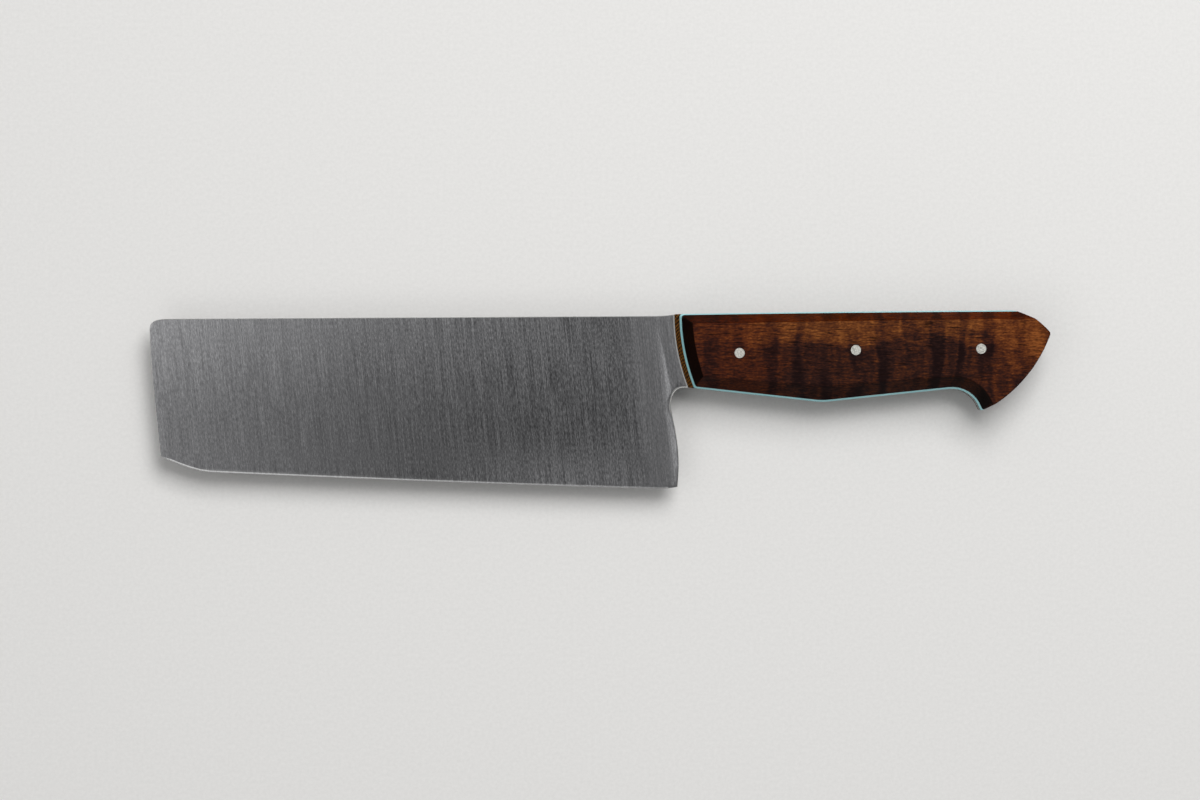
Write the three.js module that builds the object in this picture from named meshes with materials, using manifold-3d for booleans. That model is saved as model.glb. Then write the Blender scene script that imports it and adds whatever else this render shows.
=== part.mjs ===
// A nakiri: a thin, tall vegetable knife with a full tang and a pinned handle of stacked layers.
// Lengths are in millimetres and angles in degrees. The knife lies on its right side: +X runs from
// the tip to the butt, +Y from the cutting edge to the spine, +Z up through the thickness.
// Profiles are drawn from a datum where the handle's front line meets the spine, with Z = 0 in the
// middle of the steel. Depths are measured down from the datum towards the edge.
import * as THREE from "three";
import { mergeVertices } from "three/addons/utils/BufferGeometryUtils.js";
import Module from "manifold-3d";

const wasm = await Module();
wasm.setup();

// Blade profile
const BLADE_LENGTH = 165; // tip to the back of the heel
const HEEL_BACK = 1.4; // the heel's furthest point behind the datum
const HEEL_DEPTH = 54.4; // lowest part of the edge
const HEEL_BULGE_DEPTH = 46.5; // where the heel reaches furthest back
const HEEL_TUCK = 0.4; // the heel's foot, forward of its bulge
const HEEL_LIFT = 0.5; // rise of the edge at the heel
const HEEL_LIFT_RUN = 7;
const CHOIL_SETBACK = 2.5; // the choil's waist, forward of the heel's bulge
const CHOIL_DEPTH = 28;
const CHOIL_WIDTH = 3.7;
const SPINE_STEP = 0.5; // fall of the spine from the handle to the blade
const SPINE_STEP_RUN = 6.5;
const SPINE_FALL = 0.9; // further fall of the spine, out to the tip
const TIP_CORNER_RUN = 5.5; // the tip's upper corner, along the spine
const TIP_CORNER_DROP = 3; // and down the tip
const TIP_RAKE = 3.4; // the tip's foot, behind its top
const TIP_TURN = 11; // upright part of the tip line, below its corner
const TIP_FOOT_DEPTH = 44.4;
const EDGE_RISE = 5.2; // rise of the edge from the heel to where the tip sweeps up
const EDGE_BOW = 0.3; // belly of that long stretch of edge
const SWEEP_RUN = 18.6; // length of the upswept edge at the tip
const SWEEP_TURN = 4.8; // straight lead into the upsweep

// Blade grind
const STEEL_THICKNESS = 2.4;
const SPINE_THICKNESS_HEEL = 2.3;
const SPINE_THICKNESS_TIP = 1.9;
const EDGE_THICKNESS_HEEL = 0.3; // behind the sharpened bevel
const EDGE_THICKNESS_TIP = 0.24;
const EDGE_HALF_ANGLE = 15;
const PLUNGE_RADIUS = 18; // the grinding belt's sweep out to full thickness
const PLUNGE_LEAD = 7.6; // where that sweep starts on the spine, forward of the datum
const PLUNGE_LEAN = 6;
const BLADE_EASE = 0.35; // rounding of the spine, tip and choil

// Handle profile
const HANDLE_LENGTH = 116.1; // datum to the point of the butt
const FRONT_HEIGHT = 22.85;
const FRONT_SWEEP = 4.35; // how far the front line runs back at its foot
const BELLY_LOW_X = 45.9;
const BELLY_LOW_DEPTH = 27.4;
const BELLY_RADIUS = 20;
const HOOK_X = 86.3; // centre of the finger hook
const HOOK_TOP_DEPTH = 23.2;
const HOOK_RADIUS = 9.1;
const HOOK_END_ANGLE = 13;
const BUTT_BOW = 3;
const BUTT_POINT_DEPTH = 6;
const BUTT_SHOULDER_RUN = 11.6; // the sloping shoulder, from the top line to the butt's point
const BUTT_SHOULDER_TURN = 5;
const TOP_RISE = 1.15;
const TOP_FULLNESS = 0.15; // how far the top line arches over its chord

// Handle layers on each side of the tang, from the steel outwards
const INNER_LINER_THICKNESS = 1.5;
const OUTER_LINER_THICKNESS = 1;
const SCALE_THICKNESS = 6;

// Width of each layer's sloping edge, seen from the side of the knife
const INNER_LINER_FRONT_REVEAL = 1.55;
const OUTER_LINER_FRONT_REVEAL = 0.62;
const OUTER_LINER_TOP_REVEAL = 0.35;
const OUTER_LINER_BELLY_REVEAL = 0.55;
const SCALE_FRONT_BEVEL = 3.2;
const SCALE_TOP_BEVEL_FRONT = 2.8;
const SCALE_TOP_BEVEL_REAR = 2.4;
const SCALE_BELLY_BEVEL_FRONT = 3.3;
const SCALE_BELLY_BEVEL_LOW = 4.4; // at the belly's lowest point
const SCALE_BELLY_BEVEL_HOOK = 2.9;

// Rounding of the handle's corners, in profile
const LINER_CORNER = 0.25;
const SCALE_CORNER = 1;
const HOOK_TIP_CORNER = 0.9;
const BUTT_POINT_CORNER = 1.3;
const SHOULDER_CORNER = 0.2;

// Pins through the whole stack
const PIN_DIAMETER = 3.175;
const PIN_CLEARANCE = 0.05;
const PIN_FRONT_X = 19.9;
const PIN_FRONT_DEPTH = 12.2;
const PIN_MIDDLE_X = 55.8;
const PIN_MIDDLE_DEPTH = 11.3;
const PIN_REAR_X = 94.5;
const PIN_REAR_DEPTH = 10.9;

// Facets
const CURVE_STEPS = 14; // along each curve of the blade's profile
const EASE_STEPS = 2;
const EDGE_STEPS = 50;
const GRIND_STEPS = 6;
const PLUNGE_STEPS = 10;
const CORNER_STEPS = 5;
const PIN_SIDES = 24;
const HANDLE_STEPS = { front: 14, belly: 60, butt: 20, shoulder: 10, top: 16 };

const point = (x, y) => new THREE.Vector2(x, y);
const radians = THREE.MathUtils.degToRad;
const lerp = THREE.MathUtils.lerp;

// Solids: closed geometry in and out of the boolean library

function solidFrom(geometry) {
  const bare = geometry.clone();
  bare.deleteAttribute("normal");
  bare.deleteAttribute("uv");
  const merged = mergeVertices(bare, 1e-4);
  const vertProperties = new Float32Array(merged.attributes.position.array);
  const triVerts = new Uint32Array(merged.index.array);
  return new wasm.Manifold(new wasm.Mesh({ numProp: 3, vertProperties, triVerts }));
}

function geometryFrom(solid) {
  const mesh = solid.getMesh();
  const geometry = new THREE.BufferGeometry();
  geometry.setAttribute("position", new THREE.BufferAttribute(mesh.vertProperties, 3));
  geometry.setIndex(new THREE.BufferAttribute(mesh.triVerts, 1));
  geometry.computeVertexNormals();
  return geometry;
}

// A closed skin over rings of equally many points, with flat ends across the first and last ring.
// The ends are flat across the axis named, and the rings may turn either way round it.
function loft(rings, axis) {
  const count = rings[0].length;
  const across = { x: ["y", "z"], y: ["z", "x"], z: ["x", "y"] }[axis];
  const flat = (ring) => ring.map((p) => point(p[across[0]], p[across[1]]));
  const clockwise = THREE.ShapeUtils.isClockWise(flat(rings[0]));
  const facesOut = clockwise === rings[0][0][axis] > rings.at(-1)[0][axis];
  const triangles = [];
  const addTriangle = (a, b, c) => triangles.push(...(facesOut ? [a, b, c] : [a, c, b]));
  for (let r = 0; r + 1 < rings.length; r++) {
    for (let i = 0; i < count; i++) {
      const a = r * count + i;
      const b = r * count + ((i + 1) % count);
      addTriangle(a, b, b + count);
      addTriangle(a, b + count, a + count);
    }
  }
  const addEnd = (ring, start, alongRing) => {
    for (const [a, b, c] of THREE.ShapeUtils.triangulateShape(flat(ring), [])) {
      if (clockwise === alongRing) addTriangle(start + a, start + c, start + b);
      else addTriangle(start + a, start + b, start + c);
    }
  };
  addEnd(rings[0], 0, false);
  addEnd(rings.at(-1), (rings.length - 1) * count, true);
  const geometry = new THREE.BufferGeometry().setFromPoints(rings.flat());
  geometry.setIndex(triangles);
  return solidFrom(geometry);
}

// Lines of points

function tangentAt(points, i) {
  return points[Math.min(i + 1, points.length - 1)].clone().sub(points[Math.max(i - 1, 0)]).normalize();
}

// The line with both ends run on along their tangents
function extended(points, distance) {
  const before = tangentAt(points, 0).multiplyScalar(-distance).add(points[0]);
  const after = tangentAt(points, points.length - 1).multiplyScalar(distance).add(points.at(-1));
  return [before, ...points, after];
}

// A side of the handle moved to its left by inset(share of its length). Each point keeps that share
// as its z, so that points on two insets of one side can be matched.
function insetSide(points, inset) {
  const last = points.length - 1;
  return points.map((p, i) => {
    const along = tangentAt(points, i);
    const distance = inset(i / last);
    return new THREE.Vector3(p.x - along.y * distance, p.y + along.x * distance, i / last);
  });
}

const turnBetween = (p, q) => p.x * q.y - p.y * q.x;

// How far along ab and along cd the two stretches cross, or nothing
function crossing(a, b, c, d) {
  const ab = b.clone().sub(a);
  const cd = d.clone().sub(c);
  const ac = c.clone().sub(a);
  const shares = [turnBetween(ac, cd) / turnBetween(ab, cd), turnBetween(ac, ab) / turnBetween(ab, cd)];
  return shares.every((share) => share > -1e-9 && share < 1 + 1e-9) ? shares : null;
}

// Both lines cut where the end of the first crosses the start of the second
function trimmedCorner(first, second) {
  const apart = (p, q) => p.distanceTo(q) > 1e-6;
  for (let i = first.length - 2; i >= 0; i--) {
    for (let j = 0; j + 1 < second.length; j++) {
      const shares = crossing(first[i], first[i + 1], second[j], second[j + 1]);
      if (!shares) continue;
      const firstEnd = first[i].clone().lerp(first[i + 1], shares[0]);
      const secondStart = second[j].clone().lerp(second[j + 1], shares[1]);
      const kept = first.slice(0, i + 1).filter((p) => apart(p, firstEnd));
      const following = second.slice(j + 1).filter((p) => apart(p, secondStart));
      return [[...kept, firstEnd], [secondStart, ...following]];
    }
  }
  throw new Error("two sides of the handle's outline no longer meet");
}

// Points along a line between cuts at its two ends, evenly spaced by share
function spaced(line, cutBefore, cutAfter, steps) {
  const length = line.slice(1).reduce((sum, p, i) => sum + p.distanceTo(line[i]), 0);
  const perLength = (line.at(-1).z - line[0].z) / length;
  const start = line[0].z + cutBefore * perLength;
  const end = line.at(-1).z - cutAfter * perLength;
  return Array.from({ length: steps + 1 }, (_, k) => {
    const share = lerp(start, end, k / steps);
    const i = Math.max(1, line.findIndex((p) => p.z >= share - 1e-9));
    return line[i - 1].clone().lerp(line[i], (share - line[i - 1].z) / (line[i].z - line[i - 1].z));
  });
}

// Blade profile and edge line

const tipX = HEEL_BACK - BLADE_LENGTH;
const spineTipY = -SPINE_STEP - SPINE_FALL;
const tipFoot = point(tipX + TIP_RAKE, -TIP_FOOT_DEPTH);
const frontFoot = point(FRONT_SWEEP, -FRONT_HEIGHT);
const heelFoot = point(HEEL_BACK - HEEL_TUCK, HEEL_LIFT - HEEL_DEPTH);
const blankMargin = HEEL_DEPTH / 4; // spare steel below the edge, ground away
const tangLap = FRONT_HEIGHT / 6; // how far the blade's blank runs in under the handle

function bladeProfile() {
  const waistX = HEEL_BACK - CHOIL_SETBACK;
  const waistRun = HEEL_BULGE_DEPTH - CHOIL_DEPTH;
  const heelMiddleY = lerp(heelFoot.y, -HEEL_BULGE_DEPTH, 0.5);
  const cornerY = spineTipY - TIP_CORNER_DROP;
  const tipRun = tipFoot.clone().sub(point(tipX, cornerY - TIP_TURN));
  const blankTip = tipFoot.clone().addScaledVector(tipRun, blankMargin / -tipRun.y);
  const choilHeight = CHOIL_DEPTH - FRONT_HEIGHT;
  const shape = new THREE.Shape();
  shape.moveTo(frontFoot.x + tangLap, frontFoot.y + BLADE_EASE);
  shape.lineTo(tangLap, -BLADE_EASE);
  shape.lineTo(0, 0);
  shape.quadraticCurveTo(-SPINE_STEP_RUN / 2, -SPINE_STEP, -SPINE_STEP_RUN, -SPINE_STEP);
  shape.lineTo(tipX + TIP_CORNER_RUN, spineTipY);
  shape.quadraticCurveTo(tipX, spineTipY, tipX, cornerY);
  shape.quadraticCurveTo(tipX, cornerY - TIP_TURN, tipFoot.x, tipFoot.y);
  shape.lineTo(blankTip.x, blankTip.y);
  shape.lineTo(heelFoot.x, -HEEL_DEPTH - blankMargin);
  shape.lineTo(heelFoot.x, heelFoot.y);
  shape.quadraticCurveTo(HEEL_BACK, heelMiddleY, HEEL_BACK, -HEEL_BULGE_DEPTH);
  shape.bezierCurveTo(
    HEEL_BACK, waistRun * 0.5 - HEEL_BULGE_DEPTH,
    waistX, -CHOIL_DEPTH - waistRun * 0.2,
    waistX, -CHOIL_DEPTH);
  shape.absellipse(waistX + CHOIL_WIDTH, -CHOIL_DEPTH, CHOIL_WIDTH, choilHeight, Math.PI, Math.PI / 2, true);
  shape.lineTo(frontFoot.x, frontFoot.y);
  return shape;
}

// The cutting edge from the heel to the tip's foot, run on straight past both ends
function edgeLine() {
  const lowX = HEEL_BACK - HEEL_LIFT_RUN;
  const sweepX = tipX + SWEEP_RUN;
  const sweepY = EDGE_RISE - HEEL_DEPTH;
  const bow = point((lowX + sweepX) / 2, (sweepY - HEEL_DEPTH) / 2 - 2 * EDGE_BOW);
  const slopeAtHeel = (bow.y + HEEL_DEPTH) / (bow.x - lowX);
  const slopeAtSweep = (sweepY - bow.y) / (sweepX - bow.x);
  const liftX = (lowX + heelFoot.x) / 2;
  const path = new THREE.Path()
    .moveTo(heelFoot.x, heelFoot.y)
    .quadraticCurveTo(liftX, slopeAtHeel * (liftX - lowX) - HEEL_DEPTH, lowX, -HEEL_DEPTH)
    .quadraticCurveTo(bow.x, bow.y, sweepX, sweepY)
    .quadraticCurveTo(sweepX - SWEEP_TURN, sweepY - SWEEP_TURN * slopeAtSweep, tipFoot.x, tipFoot.y);
  return extended(path.getSpacedPoints(EDGE_STEPS), SWEEP_RUN);
}

// Handle outline: five sides, anticlockwise from the top of the front line

function bellyPath() {
  const low = point(BELLY_LOW_X, -BELLY_LOW_DEPTH);
  const centre = point(HOOK_X, -HOOK_TOP_DEPTH - HOOK_RADIUS);
  const toCentre = centre.clone().sub(low);
  const rise = toCentre.angle() + Math.asin(HOOK_RADIUS / toCentre.length());
  const fall = low.clone().sub(frontFoot).angle();
  const cutBack = BELLY_RADIUS * Math.tan((rise - fall) / 2);
  const beforeLow = low.clone().addScaledVector(point(Math.cos(fall), Math.sin(fall)), -cutBack);
  const afterLow = low.clone().addScaledVector(point(Math.cos(rise), Math.sin(rise)), cutBack);
  const touching = rise + Math.PI / 2 - 2 * Math.PI;
  return new THREE.Path()
    .moveTo(frontFoot.x, frontFoot.y)
    .lineTo(beforeLow.x, beforeLow.y)
    .quadraticCurveTo(low.x, low.y, afterLow.x, afterLow.y)
    .lineTo(centre.x + HOOK_RADIUS * Math.cos(touching), centre.y + HOOK_RADIUS * Math.sin(touching))
    .absarc(centre.x, centre.y, HOOK_RADIUS, touching, radians(HOOK_END_ANGLE), true);
}

function handleSides() {
  const shoulder = point(HANDLE_LENGTH - BUTT_SHOULDER_RUN, TOP_RISE);
  const buttPoint = point(HANDLE_LENGTH, -BUTT_POINT_DEPTH);
  const belly = bellyPath();
  const hookTip = belly.getPoint(1);
  const buttChord = buttPoint.clone().sub(hookTip);
  const buttOut = point(buttChord.y, -buttChord.x).normalize();
  const buttBow = hookTip.clone().lerp(buttPoint, 0.5).addScaledVector(buttOut, 2 * BUTT_BOW);
  return {
    front: new THREE.Path().moveTo(0, 0).quadraticCurveTo(0, -FRONT_HEIGHT / 2, frontFoot.x, frontFoot.y),
    belly,
    butt: new THREE.Path()
      .moveTo(hookTip.x, hookTip.y)
      .quadraticCurveTo(buttBow.x, buttBow.y, buttPoint.x, buttPoint.y),
    shoulder: new THREE.Path()
      .moveTo(buttPoint.x, buttPoint.y)
      .quadraticCurveTo(shoulder.x + BUTT_SHOULDER_TURN, shoulder.y, shoulder.x, shoulder.y),
    top: new THREE.Path()
      .moveTo(shoulder.x, shoulder.y)
      .quadraticCurveTo(shoulder.x / 2, shoulder.y / 2 + 2 * TOP_FULLNESS, 0, 0),
  };
}

const sides = handleSides();
const sideNames = Object.keys(sides);
const sideLines = sideNames.map((name) => sides[name].getSpacedPoints(HANDLE_STEPS[name]));

// The outline with its sides moved in and its corners rounded, as a ring of points at one height
function handleRing(height, insets, frontCorner) {
  const still = () => 0;
  const lines = sideNames.map((name, s) => {
    const moved = insetSide(sideLines[s], insets[name] ?? still);
    return extended(moved, HOOK_RADIUS);
  });
  const nextTo = (s) => (s + 1) % lines.length;
  lines.forEach((_, s) => {
    [lines[s], lines[nextTo(s)]] = trimmedCorner(lines[s], lines[nextTo(s)]);
  });
  const corners = [frontCorner, HOOK_TIP_CORNER, BUTT_POINT_CORNER, SHOULDER_CORNER, frontCorner];
  const cuts = lines.map((line, s) => {
    const turn = tangentAt(line, line.length - 1).angleTo(tangentAt(lines[nextTo(s)], 0));
    return Math.max(corners[s] * Math.tan(turn / 2), corners[s] / CORNER_STEPS);
  });
  const ring = lines.flatMap((line, s) => {
    const side = spaced(line, cuts.at(s - 1), cuts[s], HANDLE_STEPS[sideNames[s]]);
    const restart = spaced(lines[nextTo(s)], cuts[s], 0, 1)[0];
    const corner = new THREE.QuadraticBezierCurve3(side.at(-1), line.at(-1), restart);
    return [...side, ...corner.getPoints(CORNER_STEPS).slice(1, -1)];
  });
  return ring.map((p) => new THREE.Vector3(p.x, p.y, height));
}

// Blade: a profiled blank, ground on both sides, sharpened, and joined to its tang

// Waste on one side of the blade: the belt's flat run from the tip, then its sweep out at the plunge
function grindWaste(side) {
  const above = blankMargin;
  const rows = Array.from({ length: GRIND_STEPS + 1 }, (_, r) => {
    const y = lerp(above, -HEEL_DEPTH - blankMargin, r / GRIND_STEPS);
    const share = -y / HEEL_DEPTH;
    const heelHalf = lerp(SPINE_THICKNESS_HEEL, EDGE_THICKNESS_HEEL, share) / 2;
    const tipHalf = lerp(SPINE_THICKNESS_TIP, EDGE_THICKNESS_TIP, -y / (HEEL_DEPTH - EDGE_RISE)) / 2;
    const startX = -PLUNGE_LEAD - y * Math.tan(radians(PLUNGE_LEAN));
    const farX = tipX - blankMargin;
    const clear = STEEL_THICKNESS;
    const flatRun = Array.from({ length: GRIND_STEPS }, (_, k) => {
      const x = lerp(farX, startX, k / GRIND_STEPS);
      return [x, lerp(heelHalf, tipHalf, (startX - x) / (startX - tipX))];
    });
    const sweepEnd = Math.acos(1 - (clear - heelHalf) / PLUNGE_RADIUS);
    const sweep = Array.from({ length: PLUNGE_STEPS + 1 }, (_, k) => {
      const turn = (sweepEnd * k) / PLUNGE_STEPS;
      return [startX + PLUNGE_RADIUS * Math.sin(turn), heelHalf + PLUNGE_RADIUS * (1 - Math.cos(turn))];
    });
    return [...flatRun, ...sweep, [farX, clear]].map(([x, z]) => new THREE.Vector3(x, y, side * z));
  });
  return loft(rows, "y");
}

// Everything above the two planes of the sharpened edge
function edgeWedge() {
  const reach = 2 * HEEL_DEPTH;
  const halfWidth = reach * Math.tan(radians(EDGE_HALF_ANGLE));
  const line = edgeLine();
  const past = point(2 * HANDLE_LENGTH, line[0].y);
  const sections = [past, ...line].map(({ x, y }) => [
    new THREE.Vector3(x, y, 0),
    new THREE.Vector3(x, y + reach, halfWidth),
    new THREE.Vector3(x, y + reach, -halfWidth),
  ]);
  return loft(sections, "x");
}

function tang() {
  const hidden = { front: () => BLADE_EASE };
  const rings = [-1, 1].map((side) => handleRing((side * STEEL_THICKNESS) / 2, hidden, LINER_CORNER));
  return loft(rings, "z");
}

function blade() {
  const blank = new THREE.ExtrudeGeometry(bladeProfile(), {
    depth: STEEL_THICKNESS - 2 * BLADE_EASE,
    curveSegments: CURVE_STEPS,
    bevelSize: BLADE_EASE,
    bevelOffset: -BLADE_EASE,
    bevelThickness: BLADE_EASE,
    bevelSegments: EASE_STEPS,
  });
  blank.translate(0, 0, BLADE_EASE - STEEL_THICKNESS / 2);
  return solidFrom(blank)
    .subtract(grindWaste(1))
    .subtract(grindWaste(-1))
    .intersect(edgeWedge())
    .add(tang());
}

// Handle layers of the left side, lofted between their lower and upper outlines

const innerFloor = STEEL_THICKNESS / 2;
const outerFloor = innerFloor + INNER_LINER_THICKNESS;
const scaleFloor = outerFloor + OUTER_LINER_THICKNESS;
const faceHeight = scaleFloor + SCALE_THICKNESS;

const innerInsets = { front: () => INNER_LINER_FRONT_REVEAL };
const outerInsets = {
  front: () => INNER_LINER_FRONT_REVEAL + OUTER_LINER_FRONT_REVEAL,
  belly: () => OUTER_LINER_BELLY_REVEAL,
  top: () => OUTER_LINER_TOP_REVEAL,
};
const lowShare = BELLY_LOW_X / sides.belly.getLength();
const bellyBevel = (share) =>
  share < lowShare
    ? lerp(SCALE_BELLY_BEVEL_FRONT, SCALE_BELLY_BEVEL_LOW, share / lowShare)
    : lerp(SCALE_BELLY_BEVEL_LOW, SCALE_BELLY_BEVEL_HOOK, (share - lowShare) / (1 - lowShare));
const faceInsets = {
  front: () => outerInsets.front() + SCALE_FRONT_BEVEL,
  belly: (share) => OUTER_LINER_BELLY_REVEAL + bellyBevel(share),
  top: (share) => OUTER_LINER_TOP_REVEAL + lerp(SCALE_TOP_BEVEL_REAR, SCALE_TOP_BEVEL_FRONT, share),
};

const steelLine = handleRing(innerFloor, {}, LINER_CORNER);
const innerLine = handleRing(outerFloor, innerInsets, SCALE_CORNER);
const outerLine = handleRing(scaleFloor, outerInsets, SCALE_CORNER);
const faceLine = handleRing(faceHeight, faceInsets, LINER_CORNER);

// Pins and their holes

const pinPlaces = {
  pin_front: point(PIN_FRONT_X, -PIN_FRONT_DEPTH),
  pin_middle: point(PIN_MIDDLE_X, -PIN_MIDDLE_DEPTH),
  pin_rear: point(PIN_REAR_X, -PIN_REAR_DEPTH),
};

function rod(place, radius, length) {
  const geometry = new THREE.CylinderGeometry(radius, radius, length, PIN_SIDES);
  return geometry.rotateX(Math.PI / 2).translate(place.x, place.y, 0);
}

function drilled(solid) {
  const radius = PIN_DIAMETER / 2 + PIN_CLEARANCE;
  const holes = Object.values(pinPlaces).map((place) => solidFrom(rod(place, radius, 3 * faceHeight)));
  return holes.reduce((rest, hole) => rest.subtract(hole), solid);
}

// Finishes

const finish = (color, roughness, metalness) =>
  new THREE.MeshStandardMaterial({ color, roughness, metalness });
const brushedSteel = finish("#8d8e90", 0.42, 1);
const pinMetal = finish("#d3d0c8", 0.35, 1);
const weaveLaminate = finish("#5a4020", 0.6, 0);
const tealLaminate = finish("#82bcc0", 0.45, 0);
const figuredWood = finish("#4a2a1c", 0.38, 0);

// Assembly

function named(name, geometry, material) {
  const mesh = new THREE.Mesh(geometry, material);
  mesh.name = name;
  return mesh;
}

const layers = {
  inner_liner: [geometryFrom(drilled(loft([steelLine, innerLine], "z"))), weaveLaminate],
  outer_liner: [geometryFrom(drilled(loft([innerLine, outerLine], "z"))), tealLaminate],
  scale: [geometryFrom(drilled(loft([outerLine, faceLine], "z"))), figuredWood],
};

// The left layers face up; the right ones are their mirror image under the tang
function handleSide(side, mirror) {
  const group = new THREE.Group();
  Object.entries(layers).forEach(([name, [geometry, material]]) => {
    group.add(named(`${name}_${side}`, geometry, material));
  });
  group.scale.z = mirror;
  return group;
}

const knife = new THREE.Group();
knife.add(named("blade", geometryFrom(drilled(blade())), brushedSteel));
knife.add(handleSide("left", 1), handleSide("right", -1));
Object.entries(pinPlaces).forEach(([name, place]) => {
  knife.add(named(name, rod(place, PIN_DIAMETER / 2, 2 * faceHeight), pinMetal));
});

// The origin is under the middle of the knife, on the surface that it lies on
knife.updateMatrixWorld(true);
const extent = new THREE.Box3().setFromObject(knife, true);
const middle = extent.getCenter(new THREE.Vector3());
knife.position.set(-middle.x, -middle.y, -extent.min.z);

export default knife;
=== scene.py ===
"""Studio view of a nakiri knife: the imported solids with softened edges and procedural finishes."""

import math

import bmesh
import bpy
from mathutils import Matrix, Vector
from mathutils.geometry import delaunay_2d_cdt


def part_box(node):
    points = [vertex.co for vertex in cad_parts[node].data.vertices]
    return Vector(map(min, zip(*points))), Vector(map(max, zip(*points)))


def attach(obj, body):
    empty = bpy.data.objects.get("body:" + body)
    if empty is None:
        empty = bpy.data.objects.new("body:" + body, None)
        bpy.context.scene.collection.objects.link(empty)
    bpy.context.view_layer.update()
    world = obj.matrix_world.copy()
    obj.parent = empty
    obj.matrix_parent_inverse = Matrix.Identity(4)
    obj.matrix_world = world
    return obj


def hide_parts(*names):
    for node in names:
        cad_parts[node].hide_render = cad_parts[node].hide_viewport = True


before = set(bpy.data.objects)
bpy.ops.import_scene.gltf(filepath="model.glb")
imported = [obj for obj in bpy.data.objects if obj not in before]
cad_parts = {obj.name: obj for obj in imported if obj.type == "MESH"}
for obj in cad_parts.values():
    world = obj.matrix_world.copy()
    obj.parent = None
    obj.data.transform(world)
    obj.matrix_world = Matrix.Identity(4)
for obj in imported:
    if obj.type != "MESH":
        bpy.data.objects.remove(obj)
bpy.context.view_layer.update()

MM = 0.001

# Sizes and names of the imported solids
BLADE_LOW, BLADE_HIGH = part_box("blade")
STEEL_MIDDLE = (BLADE_LOW.z + BLADE_HIGH.z) / 2
STEEL_HALF = (BLADE_HIGH.z - BLADE_LOW.z) / 2
PIN_NAMES = ("pin_front", "pin_middle", "pin_rear")
HANDLE_SIDES = ("left", "right")

# Places on the knife are measured from where the front of the handle meets the spine:
# along towards the butt, and depth down towards the cutting edge
TIP_REACH = 163.6 * MM
HANDLE_RISE = 1.15 * MM
FRONT_X = BLADE_LOW.x + TIP_REACH
SPINE_Y = BLADE_HIGH.y - HANDLE_RISE
FRONT_SWEEP = 4.35 * MM
FRONT_HEIGHT = 22.85 * MM

# Grind of the blade
HEEL_DEPTH = 54.4 * MM
TIP_DEPTH = 49.2 * MM
SPINE_HALF_HEEL, SPINE_HALF_TIP = 1.15 * MM, 0.95 * MM
EDGE_HALF_HEEL, EDGE_HALF_TIP = 0.15 * MM, 0.12 * MM
EDGE_SLOPE = math.tan(math.radians(15))
PLUNGE_LEAD = 7.6 * MM
PLUNGE_LEAN = math.tan(math.radians(6))
PLUNGE_RADIUS = 18 * MM
CREST_SOFTNESS = 0.04 * MM
BELT_LEAN = math.tan(math.radians(6))

# Tone of the steel, with painted shade, painted light and painted highlights: where it changes along the
# blade, past the start of the plunge or down from the spine
TIP_TO_HEEL = (-165 * MM, -45 * MM)
HEEL_SPAN = (-70 * MM, -15 * MM)
EDGE_WARD = (-6 * MM, 36 * MM)
FOOT_SPAN = (-85 * MM, -20 * MM)
FOOT_DEPTHS = (34 * MM, 54 * MM)
PLUNGE_LIGHT_SPAN = (-14 * MM, -2 * MM)
BITE_SPAN = (-120 * MM, -25 * MM)
CALM_SPAN = (-11 * MM, -2 * MM)
EDGE_HIGHLIGHT_HALF = (0.16 * MM, 0.13 * MM)
HANDLE_LINE_HIGHLIGHT = (0.25 * MM, 0.5 * MM)

# Softening of the edges
WELD_GAP = 0.002 * MM
SHARP_ANGLE = math.radians(28)
RIM_EASE = 0.3 * MM
CHOIL_EASE = 0.8 * MM
CHOIL_SPAN = (21 * MM, 32 * MM)
CHOIL_FADE = 2.5 * MM
TANG_EASE = 0.01 * MM
WOOD_EDGE_ROUNDING = 0.35 * MM
BUTT_EDGE_ROUNDING = 0.6 * MM
PIN_EDGE_ROUNDING = 0.1 * MM
SLOPED_SIDE = 1 * MM
EASE_STEPS = 4
PIN_SIDES = 56

# Limits of the softening: the largest rim as a share of half the steel, how far a corner's inset may
# be stretched, and the sharpest corner that the stretch is worked out for
EASE_LIMIT = 0.8
MITRE_LIMIT = 1.6
SHARPEST_TURN = 0.2

# Spacing of the points over the blade's faces
PLUNGE_SPAN = (-10 * MM, 6 * MM)
PLUNGE_ROW = 0.75 * MM
PLUNGE_SHARES = (-0.4, -0.15, 0.0, 0.15, 0.3, 0.45, 0.6, 0.7, 0.8, 0.88, 0.94, 1.0)
PAST_CREST = (0.08 * MM, 0.2 * MM, 0.5 * MM, 1.2 * MM)
OPEN_SPACING = 6 * MM
RIM_CLEARANCE = 0.3 * MM
HOLE_CLEARANCE = 3 * MM

# Figure of the wood: the distance between its dark bars, and where its colour changes along the handle
# or down from the spine
CURL_SPACING = 8.5 * MM
CURL_SPAN = (16 * MM, 51 * MM)
GOLD_SPAN = (14 * MM, 36 * MM)
GOLD_DEPTHS = (10.6 * MM, 6.1 * MM)
BUTT_GOLD_SPAN = (96 * MM, 108 * MM)
BUTT_GOLD_DEPTHS = (20.6 * MM, 10.6 * MM)
FRONT_RED_SPAN = (42 * MM, 22 * MM)
BUTT_RED_SPAN = (84 * MM, 100 * MM)
# Where painted shade darkens the belly slope near the hook
HOOK_SPAN = (70 * MM, 88 * MM)

# Camera, as the photograph has it
CAMERA_AIM = (0.67 * MM, -0.08 * MM)
CAMERA_HEIGHT = 884 * MM
CAMERA_LENS = 85
CAMERA_SENSOR = 36
CAMERA_REACH = 100.0

# Floor and room
FLOOR_RADIUS = 8.0
FLOOR_SIDES = 96
WALL_GREY = 0.38
WALL_TOP = 0.35
CEILING_GREYS = ((0.25, 0.27), (0.42, 0.17), (0.53, 0.41), (0.72, 0.28))


def lerp(first, second, share):
    """A value part of the way from the first to the second."""
    return first + (second - first) * share


# Node helpers

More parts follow.
